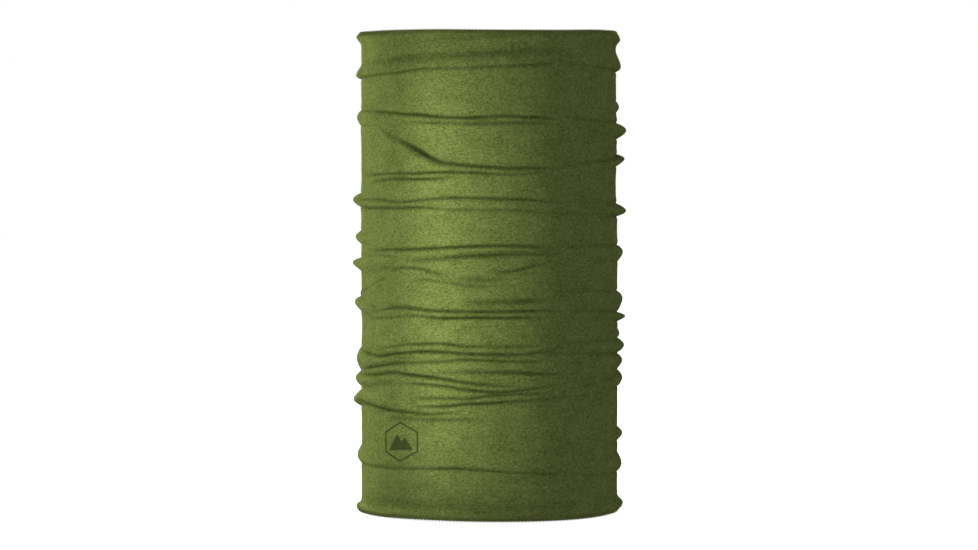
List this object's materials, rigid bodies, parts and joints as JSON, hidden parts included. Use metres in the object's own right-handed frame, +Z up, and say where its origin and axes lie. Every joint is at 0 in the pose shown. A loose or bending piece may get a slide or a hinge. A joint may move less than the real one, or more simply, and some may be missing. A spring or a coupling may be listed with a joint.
{
  "type": "neck gaiter",
  "caption": "Seamless knitted neck gaiter standing as a folded tube, with overlocked edges, a small printed emblem and a care label inside.",
  "frame": {"origin": "centre of the bottom edge, on the surface that the tube stands on", "axes": "+Z up along the tube's axis from the bottom edge to the top edge, -Y towards the front, which faces the viewer in the picture, +X to the front's right"},
  "size_m": [0.188, 0.188, 0.328],
  "materials": {
    "knit_fabric": "matt single-jersey knit, olive green",
    "edge_thread": "tone-on-tone polyester overlock thread",
    "transfer_print": "thin dark olive transfer print, satin",
    "label_satin": "woven satin ribbon, off-white"
  },
  "bodies": {
    "tube": {"knit_tube": "knit_fabric", "bottom_edge_outer_looper_thread": "edge_thread", "bottom_edge_inner_looper_thread": "edge_thread", "bottom_edge_needle_thread": "edge_thread", "emblem_outline": "transfer_print", "emblem_peaks": "transfer_print"},
    "top_edge": {"top_edge_outer_looper_thread": "edge_thread", "top_edge_inner_looper_thread": "edge_thread", "top_edge_needle_thread": "edge_thread"},
    "label": {"care_label": "label_satin"}
  },
  "joints": [
    {"name": "top_edge_pull", "type": "slide", "parent": "tube", "child": "top_edge", "axis": [0, 0, 1], "range_m": [-0.12, 0.09], "stiffness_N_per_m": 20, "deforming": ["knit_tube"]},
    {"name": "label_flip", "type": "hinge", "parent": "top_edge", "child": "label", "pos_m": [0, 0.0848, 0.3246], "axis": [-1, 0, 0], "range_deg": [0, 160]}
  ]
}
